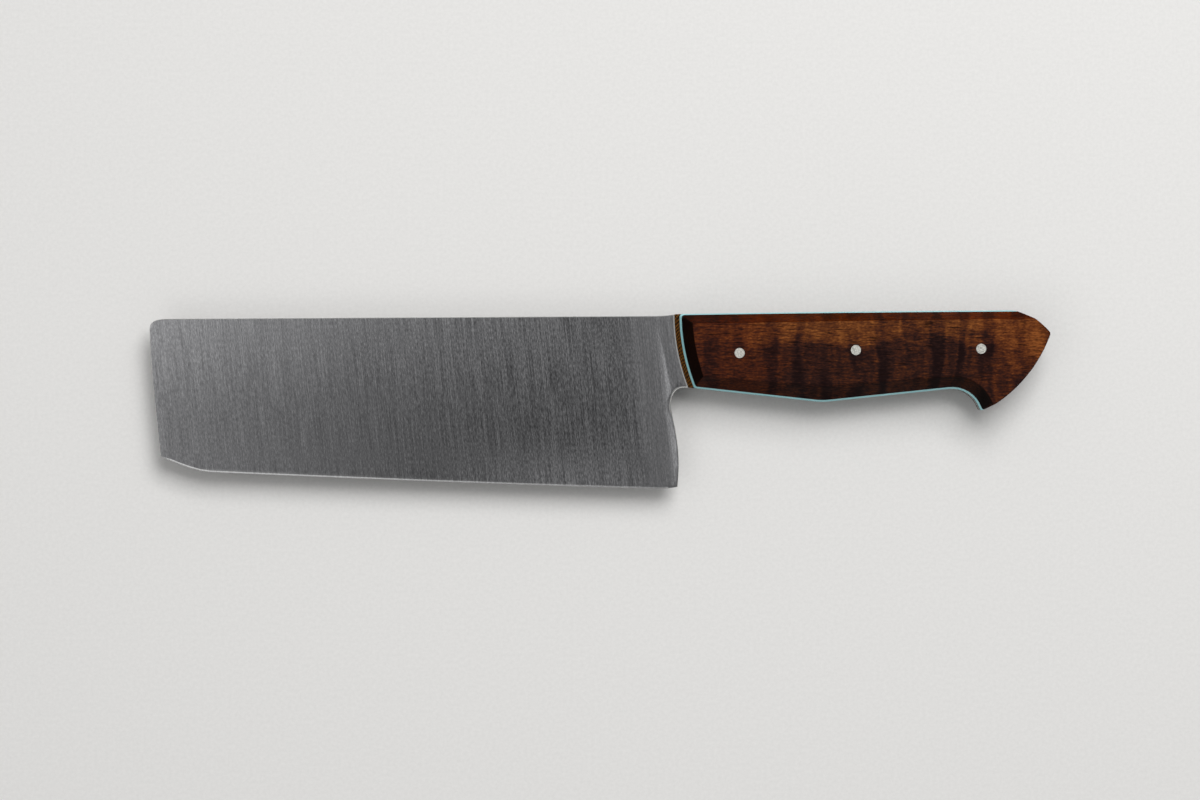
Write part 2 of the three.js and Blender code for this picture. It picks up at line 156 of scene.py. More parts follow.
def paint(red, green, blue):
    """A colour given as screen values from 0 to 255, as the linear colour that nodes take."""
    def linear(level):
        share = level / 255
        return share / 12.92 if share <= 0.04045 else ((share + 0.055) / 1.055) ** 2.4
    return (linear(red), linear(green), linear(blue), 1.0)


def add_node(tree, kind, inputs=None, **settings):
    """Adds a node. inputs maps its sockets to plain values or to the outputs that feed them."""
    node = tree.nodes.new(kind)
    for setting, value in settings.items():
        setattr(node, setting, value)
    for socket, value in (inputs or {}).items():
        if isinstance(value, bpy.types.NodeSocket):
            tree.links.new(value, node.inputs[socket])
        else:
            node.inputs[socket].default_value = value
    return node


def calc(tree, operation, first, second=0.0):
    """One sum on values."""
    return add_node(tree, "ShaderNodeMath", {0: first, 1: second}, operation=operation).outputs[0]


def weighted(tree, *terms):
    """The sum of values, each multiplied by its own number."""
    parts = [calc(tree, "MULTIPLY", value, weight) for value, weight in terms]
    total = parts[0]
    for part in parts[1:]:
        total = calc(tree, "ADD", total, part)
    return total


def pushed(tree, value, push, amount):
    """A value moved by a multiple of another."""
    return calc(tree, "ADD", value, calc(tree, "MULTIPLY", push, amount))


def smooth_step(tree, value, start, end, low=0.0, high=1.0):
    """low before start, high after end, and a smooth change between them."""
    inputs = {"Value": value, "From Min": start, "From Max": end, "To Min": low, "To Max": high}
    return add_node(tree, "ShaderNodeMapRange", inputs, interpolation_type="SMOOTHSTEP").outputs[0]


def vector_sum(tree, operation, inputs):
    """One sum on vectors."""
    return add_node(tree, "ShaderNodeVectorMath", inputs, operation=operation).outputs[0]


def axes(tree, vector):
    """The three parts of a vector."""
    return add_node(tree, "ShaderNodeSeparateXYZ", {0: vector}).outputs


def joined(tree, x, y, z):
    """A vector from its three parts."""
    return add_node(tree, "ShaderNodeCombineXYZ", {0: x, 1: y, 2: z}).outputs[0]


def cloud(tree, vector, per_metre, detail, roughness=0.5):
    """Noise with so many spots per metre, from 0 to 1, averaging one half."""
    inputs = {"Vector": vector, "Scale": per_metre, "Detail": detail, "Roughness": roughness}
    return add_node(tree, "ShaderNodeTexNoise", inputs).outputs[0]


def streaks(tree, vector, per_metre, detail, roughness=0.5):
    """Noise with its own number of spots per metre along each axis."""
    stretched = vector_sum(tree, "MULTIPLY", {0: vector, 1: per_metre})
    return cloud(tree, stretched, 1.0, detail, roughness)


def centred(tree, noise):
    """Noise moved to average zero."""
    return calc(tree, "SUBTRACT", noise, 0.5)


def blend(tree, share, first, second, mode="MIX"):
    """Two colours mixed by a share."""
    inputs = {0: share, 6: first, 7: second}
    return add_node(tree, "ShaderNodeMix", inputs, data_type="RGBA", blend_type=mode).outputs[2]


def tone_ramp(tree, value, stops):
    """A colour read from a row of (position, colour) stops."""
    node = add_node(tree, "ShaderNodeValToRGB", {0: value})
    elements = node.color_ramp.elements
    elements[0].position, elements[0].color = stops[0]
    elements[1].position, elements[1].color = stops[-1]
    for position, colour in stops[1:-1]:
        elements.new(position).color = colour
    return node.outputs[0]


def bumped(tree, height, strength, depth):
    """A normal tilted by fine relief of so much depth."""
    inputs = {"Height": height, "Strength": strength, "Distance": depth}
    return add_node(tree, "ShaderNodeBump", inputs).outputs[0]


def facing(tree):
    """The three parts of the direction that the surface faces."""
    return axes(tree, add_node(tree, "ShaderNodeNewGeometry").outputs["Normal"])


def on_knife(tree, place):
    """How far along the knife a place is, how deep below the spine, and its height."""
    x, y, z = axes(tree, place)
    return calc(tree, "SUBTRACT", x, FRONT_X), calc(tree, "SUBTRACT", SPINE_Y, y), z


def new_material(name):
    """An empty material, its node tree and the place on the piece in the knife's frame, in metres."""
    material = bpy.data.materials.new(name)
    material.use_nodes = True
    tree = material.node_tree
    tree.nodes.clear()
    place = add_node(tree, "ShaderNodeTexCoord").outputs["Object"]
    return material, tree, place


def finish_shader(tree, sockets):
    """The surface shader of a material."""
    shader = add_node(tree, "ShaderNodeBsdfPrincipled", sockets)
    add_node(tree, "ShaderNodeOutputMaterial", {"Surface": shader.outputs[0]})


def new_group(name, inputs, outputs):
    """An empty node group with named sockets, its given values and its output node."""
    tree = bpy.data.node_groups.new(name, "ShaderNodeTree")
    for label, kind in inputs:
        tree.interface.new_socket(label, in_out="INPUT", socket_type=kind)
    for label in outputs:
        tree.interface.new_socket(label, in_out="OUTPUT", socket_type="NodeSocketFloat")
    return tree, tree.nodes.new("NodeGroupInput").outputs, tree.nodes.new("NodeGroupOutput")


def give_out(tree, result, values):
    """Links values to the outputs of a node group by name."""
    for label, value in values.items():
        tree.links.new(value, result.inputs[label])


def placed(tree, group, inputs):
    """A node group placed in a material with its own values; returns its outputs."""
    return add_node(tree, "ShaderNodeGroup", inputs, node_tree=group).outputs


# Effects that several finishes share

def make_belt_lines():
    """Fine sanding lines that run along Y and lean over: short marks, longer lines and soft bands."""
    inputs = (("Place", "NodeSocketVector"), ("Lean", "NodeSocketFloat"), ("Fineness", "NodeSocketFloat"))
    tree, given, result = new_group("belt_lines", inputs, ("Marks", "Lines", "Bands"))
    x, y, z = axes(tree, given["Place"])
    leaning = joined(tree, pushed(tree, x, y, given["Lean"]), y, z)
    scaled = vector_sum(tree, "SCALE", {0: leaning, "Scale": given["Fineness"]})
    give_out(tree, result, {
        "Marks": streaks(tree, scaled, (3800, 900, 1500), 1.0, 0.6),
        "Lines": streaks(tree, scaled, (2800, 55, 300), 2.0, 0.65),
        "Bands": streaks(tree, scaled, (620, 13, 30), 3.0, 0.6),
    })
    return tree


def make_cloth_weave():
    """Threads that pass over and under each other, cut open by sanding."""
    inputs = (("Place", "NodeSocketVector"), ("Threads", "NodeSocketFloat"), ("Wander", "NodeSocketFloat"))
    tree, given, result = new_group("cloth_weave", inputs, ("Weave", "Fibres"))
    drift = add_node(tree, "ShaderNodeTexNoise", {"Vector": given["Place"], "Scale": 420.0, "Detail": 2.0})
    drift = vector_sum(tree, "SUBTRACT", {0: drift.outputs["Color"], 1: (0.5, 0.5, 0.5)})
    drift = vector_sum(tree, "SCALE", {0: drift, "Scale": given["Wander"]})
    place = vector_sum(tree, "ADD", {0: given["Place"], 1: drift})
    x, y, z = axes(tree, place)
    turn = calc(tree, "MULTIPLY", given["Threads"], math.pi)
    warp = calc(tree, "SINE", calc(tree, "MULTIPLY", pushed(tree, x, z, 0.7), turn))
    weft = calc(tree, "SINE", calc(tree, "MULTIPLY", pushed(tree, y, z, 0.7), turn))
    over = calc(tree, "MULTIPLY", warp, weft)
    give_out(tree, result, {
        "Weave": smooth_step(tree, over, -0.7, 0.7),
        "Fibres": cloud(tree, place, 3600.0, 3.0, 0.7),
    })
    return tree


def make_rubbed_sheen():
    """Soft cloudy change of gloss, as hands and a polishing cloth leave it."""
    tree, given, result = new_group("rubbed_sheen", (("Place", "NodeSocketVector"),), ("Sheen",))
    wide = cloud(tree, given["Place"], 45.0, 3.0, 0.55)
    fine = cloud(tree, given["Place"], 420.0, 2.0, 0.6)
    give_out(tree, result, {"Sheen": weighted(tree, (wide, 0.7), (fine, 0.3))})
    return tree


BELT_LINES = make_belt_lines()
CLOTH_WEAVE = make_cloth_weave()
RUBBED_SHEEN = make_rubbed_sheen()


# Finishes

def bitten(tree, tone, along, past_plunge):
    """The tone of the belt lines, which bite deeper towards the heel, but not from the plunge on."""
    deeper = smooth_step(tree, along, *BITE_SPAN, 0.9, 1.75)
    calmer = smooth_step(tree, past_plunge, *CALM_SPAN, 1.0, 0.5)
    return pushed(tree, 0.5, centred(tree, tone), calc(tree, "MULTIPLY", deeper, calmer))


def steel_painted_shade_and_light(tree, colour, along, depth, past_plunge):
    """Painted shade and painted light on the steel: darker away from the tip and the spine,
    paler at the plunge and at the foot of the heel."""
    # Painted light at the foot of the heel and along the plunge
    heel_foot_painted_light = calc(tree, "MULTIPLY", smooth_step(tree, past_plunge, *FOOT_SPAN),
                     smooth_step(tree, depth, *FOOT_DEPTHS))
    painted_light = calc(tree, "MAXIMUM", heel_foot_painted_light, smooth_step(tree, past_plunge, *PLUNGE_LIGHT_SPAN))
    # Painted shade down from the spine and towards the heel
    painted_shade = calc(tree, "MAXIMUM", smooth_step(tree, depth, *EDGE_WARD),
                  smooth_step(tree, along, *HEEL_SPAN, 0.0, 0.6))
    painted_shade = calc(tree, "MULTIPLY", painted_shade, calc(tree, "SUBTRACT", 1.0, painted_light))
    colour = blend(tree, painted_shade, colour, paint(212, 212, 212), "MULTIPLY")
    # Painted shade from the tip towards the heel
    colour = blend(tree, smooth_step(tree, along, *TIP_TO_HEEL), colour, paint(231, 231, 231), "MULTIPLY")
    # Painted light at the plunge and at the foot of the heel
    return blend(tree, calc(tree, "MULTIPLY", painted_light, 0.1), colour, paint(200, 200, 202))


def steel_painted_highlights(tree, colour, along, depth, height):
    """Paints highlights on the steel: on its eased rims, along its cutting edge and along the line where
    the handle begins.
    """
    butt_ward, spine_ward, level = facing(tree)
    level = calc(tree, "ABSOLUTE", level)
    # Painted highlight on rims that face the butt or the spine, or tilt away from the flat
    turned = smooth_step(tree, calc(tree, "MAXIMUM", butt_ward, spine_ward), 0.08, 0.2, 0.0, 0.85)
    turned = calc(tree, "MAXIMUM", turned, smooth_step(tree, level, 0.96, 0.88, 0.0, 0.85))
    rims = calc(tree, "MULTIPLY", turned, smooth_step(tree, level, 0.1, 0.3))
    # Painted highlight along the thin cutting edge
    half = calc(tree, "ABSOLUTE", calc(tree, "SUBTRACT", height, STEEL_MIDDLE))
    edge_highlight = calc(tree, "MULTIPLY", smooth_step(tree, half, *EDGE_HIGHLIGHT_HALF, 0.0, 0.35),
                 smooth_step(tree, level, 0.7, 0.9))
    # Painted highlight along the line where the handle begins
    share_down = calc(tree, "DIVIDE", depth, FRONT_HEIGHT)
    front = calc(tree, "MULTIPLY", calc(tree, "POWER", share_down, 2.0), FRONT_SWEEP)
    to_handle = calc(tree, "ABSOLUTE", calc(tree, "SUBTRACT", front, along))
    handle_line_highlight = smooth_step(tree, to_handle, *HANDLE_LINE_HIGHLIGHT, 0.9, 0.0)
    for share in (rims, edge_highlight, handle_line_highlight):
        colour = blend(tree, share, colour, paint(230, 230, 228))
    return colour


def make_belt_steel():
    """Satin steel with fine belt lines from spine to edge, painted shade and light across the blade, and
    painted highlights on the rims, the cutting edge and at the handle.
    """
    material, tree, place = new_material("belt_finished_steel")
    belt = placed(tree, BELT_LINES, {"Place": place, "Lean": BELT_LEAN, "Fineness": 1.0})
    sheen = placed(tree, RUBBED_SHEEN, {"Place": place})["Sheen"]
    along, depth, height = on_knife(tree, place)
    past_plunge = calc(tree, "ADD", pushed(tree, along, depth, -PLUNGE_LEAN), PLUNGE_LEAD)

    tone = weighted(tree, (belt["Marks"], 0.47), (belt["Lines"], 0.4), (belt["Bands"], 0.13))
    tone = bitten(tree, tone, along, past_plunge)
    colour = tone_ramp(tree, tone, ((0.29, paint(118, 118, 120)), (0.5, paint(172, 172, 174)),
                                    (0.71, paint(219, 219, 221))))
    # Painted shade and light across the blade, then painted highlights on rims, cutting edge and handle
    # line
    colour = steel_painted_shade_and_light(tree, colour, along, depth, past_plunge)
    colour = steel_painted_highlights(tree, colour, along, depth, height)

    gloss = calc(tree, "ADD", belt["Lines"], sheen)
    relief = calc(tree, "ADD", belt["Marks"], belt["Lines"])
    tangent = add_node(tree, "ShaderNodeTangent", direction_type="UV_MAP", uv_map="belt").outputs[0]
    finish_shader(tree, {
        "Base Color": colour,
        "Metallic": 1.0,
        "Roughness": smooth_step(tree, gloss, 0.6, 1.4, 0.2, 0.23),
        "Anisotropic": 0.6,
        "Tangent": tangent,
        "Normal": bumped(tree, relief, 0.05, 0.02 * MM),
    })
    return material


def make_pin_metal():
    """Pale metal sanded level with the wood, with short crossing scratches."""
    material, tree, place = new_material("sanded_pin_metal")
    belt = placed(tree, BELT_LINES, {"Place": place, "Lean": 0.6, "Fineness": 1.6})
    tone = weighted(tree, (belt["Marks"], 0.5), (cloud(tree, place, 3000.0, 2.0, 0.6), 0.5))
    finish_shader(tree, {
        "Base Color": tone_ramp(tree, tone, ((0.35, paint(160, 159, 153)), (0.65, paint(243, 242, 233)))),
        "Metallic": 0.4,
        "Roughness": smooth_step(tree, tone, 0.3, 0.7, 0.45, 0.6),
        "Normal": bumped(tree, tone, 0.3, 0.02 * MM),
    })
    return material


def make_weave_laminate():
    """Brown laminate of coarse cloth, whose cut threads show as paler flecks."""
    material, tree, place = new_material("brown_weave_laminate")
    cloth = placed(tree, CLOTH_WEAVE, {"Place": place, "Threads": 1600.0, "Wander": 1.2 * MM})
    sheen = placed(tree, RUBBED_SHEEN, {"Place": place})["Sheen"]
    tone = weighted(tree, (cloth["Weave"], 0.6), (cloth["Fibres"], 0.4))
    colour = tone_ramp(tree, tone, ((0.25, paint(18, 8, 2)), (0.5, paint(50, 30, 11)),
                                    (0.75, paint(122, 80, 33))))
    finish_shader(tree, {
        "Base Color": colour,
        "Roughness": smooth_step(tree, sheen, 0.35, 0.65, 0.45, 0.6),
        "Specular IOR Level": 0.05,
        "Normal": bumped(tree, tone, 0.3, 0.03 * MM),
    })
    return material


def make_teal_laminate():
    """Thin pale teal laminate with a fine, almost even cloth."""
    material, tree, place = new_material("teal_laminate")
    cloth = placed(tree, CLOTH_WEAVE, {"Place": place, "Threads": 5200.0, "Wander": 0.08 * MM})
    sheen = placed(tree, RUBBED_SHEEN, {"Place": place})["Sheen"]
    tone = weighted(tree, (cloth["Weave"], 0.4), (cloth["Fibres"], 0.6))
    colour = tone_ramp(tree, tone, ((0.2, paint(136, 192, 197)), (0.5, paint(156, 212, 217)),
                                    (0.8, paint(174, 227, 231))))
    finish_shader(tree, {
        "Base Color": colour,
        "Roughness": smooth_step(tree, sheen, 0.35, 0.65, 0.4, 0.55),
        "Normal": bumped(tree, tone, 0.15, 0.02 * MM),
    })
    return material


def wood_zones(tree, place, along, depth):
    """How golden the wood is, most along the spine and at the butt, and how red it is towards its ends."""
    wander = centred(tree, streaks(tree, place, (70, 130, 130), 3.0, 0.6))
    along = pushed(tree, along, wander, 30 * MM)
    depth = pushed(tree, depth, wander, -16 * MM)
    spine_side = calc(tree, "MULTIPLY", smooth_step(tree, depth, *GOLD_DEPTHS),
                      smooth_step(tree, along, *GOLD_SPAN, 0.25, 1.0))
    butt_side = calc(tree, "MULTIPLY", smooth_step(tree, along, *BUTT_GOLD_SPAN),
                     smooth_step(tree, depth, *BUTT_GOLD_DEPTHS))
    golden = calc(tree, "MAXIMUM", spine_side, butt_side)
    redder = calc(tree, "MAXIMUM", smooth_step(tree, along, *FRONT_RED_SPAN),
                  smooth_step(tree, along, *BUTT_RED_SPAN, 0.0, 0.6))
    return golden, redder


def wood_curl(tree, place, along):
    """Curly figure across the grain: dark bars and paler ripples, ragged from fibre to fibre."""
    x, y, z = axes(tree, place)
    fray = centred(tree, streaks(tree, place, (150, 1700, 1700), 3.0, 0.7))
    drift = centred(tree, streaks(tree, place, (75, 30, 30), 2.0))
    frayed_x = pushed(tree, pushed(tree, x, fray, 3 * MM), drift, 11 * MM)
    frayed = joined(tree, frayed_x, y, z)
    bars = calc(tree, "SINE", calc(tree, "MULTIPLY", frayed_x, 2 * math.pi / CURL_SPACING))
    patches = streaks(tree, frayed, (130, 75, 75), 1.0)
    ripples = streaks(tree, frayed, (480, 90, 90), 1.0)
    dark_bars = calc(tree, "MULTIPLY", smooth_step(tree, bars, -0.1, 0.8),
                     smooth_step(tree, patches, 0.33, 0.53))
    figure = calc(tree, "SUBTRACT", smooth_step(tree, ripples, 0.38, 0.62, 0.0, 0.5), dark_bars)
    return calc(tree, "MULTIPLY", figure, smooth_step(tree, along, *CURL_SPAN, 0.5, 1.0))


def wood_painted_shade(tree, colour, along):
    """Painted shade: darkens the sloping sides and the ends, with some real end-grain darkening at the
    ends.
    """
    end_ward, spine_ward, level = facing(tree)
    level = calc(tree, "ABSOLUTE", level)
    sloping = smooth_step(tree, level, 0.96, 0.85)
    spine_side = calc(tree, "MULTIPLY", sloping, smooth_step(tree, spine_ward, -0.3, 0.3))
    # Painted shade on the slope towards the spine
    colour = blend(tree, spine_side, colour, paint(188, 140, 20), "MULTIPLY")
    belly_side = calc(tree, "MULTIPLY", sloping, smooth_step(tree, spine_ward, 0.3, -0.3))
    # Painted shade on the belly slope near the hook
    hook = calc(tree, "MULTIPLY", calc(tree, "MULTIPLY", belly_side, smooth_step(tree, level, 0.1, 0.35)),
                smooth_step(tree, along, *HOOK_SPAN, 0.0, 0.45))
    # Painted shade on both ends, with some end-grain darkening
    front_end = smooth_step(tree, end_ward, -0.4, -0.8, 0.0, 0.9)
    butt_end = smooth_step(tree, end_ward, 0.5, 0.85, 0.0, 0.6)
    for share in (hook, front_end, butt_end):
        colour = blend(tree, share, colour, paint(12, 6, 4))
    return colour


def make_figured_wood():
    """Dark oiled wood: grain along the handle, curly bands across it, golden towards spine and butt, with
    painted shade on its sloping sides and ends.
    """
    material, tree, place = new_material("figured_wood")
    along, depth, _ = on_knife(tree, place)
    golden, redder = wood_zones(tree, place, along, depth)
    fading = smooth_step(tree, golden, 0.0, 1.0, 1.0, 0.75)
    curl = calc(tree, "MULTIPLY", wood_curl(tree, place, along), fading)
    grain = centred(tree, streaks(tree, place, (240, 1900, 1900), 3.0, 0.75))
    specks = centred(tree, streaks(tree, place, (1100, 2200, 2200), 1.0))
    pores = smooth_step(tree, streaks(tree, place, (240, 2000, 2000), 1.0), 0.62, 0.7)

    tone = weighted(tree, (golden, 0.4), (redder, 0.13), (curl, 0.3), (grain, 1.1), (specks, 0.6))
    tone = calc(tree, "ADD", tone, 0.25)
    colour = tone_ramp(tree, tone, ((0.0, paint(27, 16, 16)), (0.25, paint(42, 25, 22)),
                                    (0.45, paint(64, 34, 23)), (0.7, paint(94, 52, 27)),
                                    (1.0, paint(136, 82, 40))))
    colour = blend(tree, calc(tree, "MULTIPLY", pores, 0.7), colour, paint(20, 10, 8))
    colour = blend(tree, redder, colour, paint(255, 237, 234), "MULTIPLY")
    colour = wood_painted_shade(tree, colour, along)

    sheen = placed(tree, RUBBED_SHEEN, {"Place": place})["Sheen"]
    relief = calc(tree, "SUBTRACT", calc(tree, "MULTIPLY", grain, 0.4), pores)
    finish_shader(tree, {
        "Base Color": colour,
        "Roughness": smooth_step(tree, sheen, 0.35, 0.65, 0.42, 0.56),
        "Specular IOR Level": 0.0,
        "Coat Weight": smooth_step(tree, sheen, 0.35, 0.65, 0.07, 0.03),
        "Coat Roughness": 0.3,
        "Normal": bumped(tree, relief, 0.25, 0.04 * MM),
    })
    return material


def make_floor_card():
    """Pale matt card with a faint tooth."""
    material, tree, place = new_material("pale_card")
    tooth = cloud(tree, place, 900.0, 3.0, 0.6)
    finish_shader(tree, {
        "Base Color": tone_ramp(tree, tooth, ((0.3, paint(226, 225, 223)), (0.7, paint(232, 231, 229)))),
        "Roughness": 0.9,
        "Normal": bumped(tree, tooth, 0.05, 0.1 * MM),
    })
    return material


FINISHES = {
    "blade_steel": make_belt_steel(),
    "pin_metal": make_pin_metal(),
    "weave_laminate": make_weave_laminate(),
    "teal_laminate": make_teal_laminate(),
    "figured_wood": make_figured_wood(),
}


# Outlines and faces

def welded_copy(node):
    """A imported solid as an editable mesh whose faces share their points."""
    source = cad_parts[node].data
    mesh = bpy.data.meshes.new(node + "_source")
    mesh.from_pydata([v.co for v in source.vertices], [], [tuple(p.vertices) for p in source.polygons])
    work = bmesh.new()
    work.from_mesh(mesh)
    bpy.data.meshes.remove(mesh)
    bmesh.ops.remove_doubles(work, verts=work.verts, dist=WELD_GAP)
    return work


def anticlockwise(loop):
    """A loop seen from above that runs anticlockwise and starts at its point nearest the butt."""
    turned = sum(a.x * b.y - b.x * a.y for a, b in zip(loop, loop[1:] + loop[:1]))
    loop = loop if turned > 0 else loop[::-1]
    start = max(range(len(loop)), key=lambda index: loop[index].x)
    return loop[start:] + loop[:start]


def border_loops(edges):
    """Edges that bound an area, as closed loops of points: the longest first."""
    border = {}
    for edge in edges:
        for here, there in (edge.verts, reversed(edge.verts)):
            border.setdefault(here, []).append(there)
    loops = []
    while border:
        here = next(iter(border))
        loop = []
        while here in border:
            loop.append(here.co.copy())
            following = [v for v in border.pop(here) if v in border]
            here = following[0] if following else None
        loops.append(anticlockwise(loop))
    return sorted(loops, key=lambda loop: min(p.x for p in loop) - max(p.x for p in loop))


def outline_loops(work, level):
    """The closed outlines of the flat area at one level: the outer one first, then the pin holes."""
    def in_area(face):
        return all(abs(v.co.z - level) < WELD_GAP for v in face.verts)
    return border_loops([edge for edge in work.edges if sum(map(in_area, edge.link_faces)) == 1])


def inside(place, loop):
    """Whether a place lies inside a closed loop, seen from above."""
    crossed = False
    for a, b in zip(loop, loop[1:] + loop[:1]):
        if (a.y > place.y) != (b.y > place.y):
            if place.x < a.x + (place.y - a.y) / (b.y - a.y) * (b.x - a.x):
                crossed = not crossed
    return crossed


def inward_from(loop, index):
    """The direction into an anticlockwise loop at one of its points, long enough to keep an even inset."""
    before, here, after = loop[index - 1], loop[index], loop[(index + 1) % len(loop)]
    first = (here - before).xy.normalized()
    second = (after - here).xy.normalized()
    middle = (first + second).normalized()
    stretch = min(MITRE_LIMIT, 1 / max(SHARPEST_TURN, middle.dot(second)))
    return Vector((-middle.y, middle.x, 0.0)) * stretch


def sew_rings(work, rings):
    """Faces between each closed ring of points and the next."""
    for lower, upper in zip(rings, rings[1:]):
        for index in range(len(lower)):
            work.faces.new((lower[index - 1], lower[index], upper[index], upper[index - 1]))


def fill_flat(work, loops):
    """A flat area bounded by an outer loop, with the other loops left open as holes."""
    edges = []
    for loop in loops:
        edges += [work.edges.get((loop[index - 1], loop[index])) for index in range(len(loop))]
    filled = bmesh.ops.triangle_fill(work, edges=edges, use_beauty=True, use_dissolve=False)["geom"]
    return [item for item in filled if isinstance(item, bmesh.types.BMFace)]


def soften_shading(work, flat_faces=()):
    """Smooth shading that stops at sharp edges and at the faces that are quite flat."""
    for face in work.faces:
        face.smooth = True
    for face in flat_faces:
        face.smooth = False
    for edge in work.edges:
        edge.smooth = edge.calc_face_angle(0) < SHARP_ANGLE


def finished_mesh(work, name):
    """An edited mesh as mesh data, with its faces turned outwards."""
    bmesh.ops.recalc_face_normals(work, faces=work.faces)
    mesh = bpy.data.meshes.new(name)
    work.to_mesh(mesh)
    work.free()
    return mesh


def add_piece(name, mesh, node, slot):
    """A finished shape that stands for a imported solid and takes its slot's finish."""
    mesh.materials.append(FINISHES[slot])
    piece = bpy.data.objects.new(name, mesh)
    bpy.context.scene.collection.objects.link(piece)
    shading = piece.modifiers.new("even_shading", "WEIGHTED_NORMAL")
    shading.keep_sharp = True
    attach(piece, "root")
    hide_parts(node)


# Blade

def plunge_start(depth):
    """Where the plunge begins to climb, at a depth below the spine."""
    return depth * PLUNGE_LEAN - PLUNGE_LEAD


def heel_half(depth):
    """Half the thickness of the ground face at its heel end, at a depth below the spine."""
    return lerp(SPINE_HALF_HEEL, EDGE_HALF_HEEL, depth / HEEL_DEPTH)


def plunge_run(depth):
    """How far the plunge runs before it has climbed to the full thickness of the steel."""
    level = PLUNGE_RADIUS - (STEEL_HALF - heel_half(depth))
    return math.sqrt(PLUNGE_RADIUS ** 2 - level ** 2)


def steel_half(place):
    """Half the steel's thickness at a place on the blade, before its edges are eased."""
    along = place.x - FRONT_X
    depth = SPINE_Y - place.y
    start = plunge_start(depth)
    if along < start:
        at_tip = lerp(SPINE_HALF_TIP, EDGE_HALF_TIP, depth / TIP_DEPTH)
        half = lerp(heel_half(depth), at_tip, (start - along) / (start + TIP_REACH))
    else:
        run = min(along - start, PLUNGE_RADIUS)
        half = heel_half(depth) + PLUNGE_RADIUS - math.sqrt(PLUNGE_RADIUS ** 2 - run ** 2)
    overlap = max(0.0, CREST_SOFTNESS - abs(half - STEEL_HALF))
    return min(half, STEEL_HALF) - overlap ** 2 / CREST_SOFTNESS / 4


def rim_ease(place):
    """How far the steel's edge is rounded: most in the choil, and hardly where the handle covers it."""
    along = place.x - FRONT_X
    depth = SPINE_Y - place.y
    if along > FRONT_SWEEP or (along > 0 and depth < HANDLE_RISE):
        return TANG_EASE
    in_choil = 0.0
    if along > -FRONT_SWEEP:
        in_choil = min(depth - CHOIL_SPAN[0], CHOIL_SPAN[1] - depth) / CHOIL_FADE
    wanted = lerp(RIM_EASE, CHOIL_EASE, min(1.0, max(0.0, in_choil)))
    return min(wanted, EASE_LIMIT * steel_half(place))


def over_plunge(place):
    """Whether a place is near the plunge, where the points lie close together."""
    return PLUNGE_SPAN[0] < place.x - FRONT_X < PLUNGE_SPAN[1]


def steel_outline():
    """The blade's outline at mid thickness, which points are on the cutting edge, and the pin holes."""
    work = welded_copy("blade")
    everything = work.verts[:] + work.edges[:] + work.faces[:]
    bmesh.ops.bisect_plane(work, geom=everything, dist=WELD_GAP, plane_co=(0, 0, STEEL_MIDDLE),
                           plane_no=(0, 0, 1), clear_inner=True)
    rim = [edge for edge in work.edges if len(edge.link_faces) == 1]
    cutting = {}
    for edge in rim:
        sloped = abs(edge.link_faces[0].normal.z) > EDGE_SLOPE / 2
        for vertex in edge.verts:
            spot = vertex.co.copy().freeze()
            cutting[spot] = cutting.get(spot, True) and sloped
    outer, *holes = border_loops(rim)
    on_edge = [cutting[place.copy().freeze()] for place in outer]
    work.free()
    return *closer_together(outer, on_edge), holes


def closer_together(outline, on_edge):
    """The outline with points added along it: close together over the plunge and far apart elsewhere."""
    places, flags = [], []
    for index, start in enumerate(outline):
        following = (index + 1) % len(outline)
        end = outline[following]
        spacing = PLUNGE_ROW if over_plunge((start + end) / 2) else OPEN_SPACING
        count = math.ceil((end - start).length / spacing)
        for step in range(count):
            places.append(start.lerp(end, step / count))
            flags.append(on_edge[index] and (step == 0 or on_edge[following]))
    return places, flags


def rim_steps(outline, index, on_edge):
    """The rim at one point of the outline: places from the wall inwards, each with its half thickness."""
    place = outline[index]
    inward = inward_from(outline, index)
    half = steel_half(place)
    ease = rim_ease(place)
    steps = []
    for step in range(EASE_STEPS + 1):
        share = step / EASE_STEPS
        if on_edge:
            steps.append((place + inward * half / EDGE_SLOPE * share, half * share))
        else:
            turn = math.radians(90 * share)
            spot = place + inward * ease * (1 - math.cos(turn))
            steps.append((spot, steel_half(spot) - ease * (1 - math.sin(turn))))
    return steps


def clear_of(place, border, holes):
    """Whether a place lies inside the blade's face, away from its border and its pin holes."""
    if min((place - point).xy.length for point in border) < RIM_CLEARANCE:
        return False
    for hole in holes:
        if (place - sum(hole, Vector()) / len(hole)).xy.length < HOLE_CLEARANCE:
            return False
    return inside(place, border)


def plunge_lines():
    """Lines of places that follow the plunge down from the spine, closest together along its crest."""
    depths = [row * PLUNGE_ROW for row in range(1, math.ceil(HEEL_DEPTH / PLUNGE_ROW))]
    reaches = [[plunge_run(depth) * share for depth in depths] for share in PLUNGE_SHARES]
    reaches += [[plunge_run(depth) + past for depth in depths] for past in PAST_CREST]
    lines = []
    for line in reaches:
        lines.append([Vector((FRONT_X + plunge_start(depth) + reach, SPINE_Y - depth, 0.0))
                      for depth, reach in zip(depths, line)])
    return lines


def open_places():
    """Places far apart over the parts of the blade and tang that are nearly flat."""
    places = []
    for row in range(math.ceil((BLADE_HIGH.y - BLADE_LOW.y) / OPEN_SPACING)):
        for column in range(math.ceil((BLADE_HIGH.x - BLADE_LOW.x) / OPEN_SPACING)):
            place = Vector((BLADE_LOW.x + column * OPEN_SPACING, SPINE_Y - row * OPEN_SPACING, 0.0))
            if not over_plunge(place):
                places.append(place)
    return places


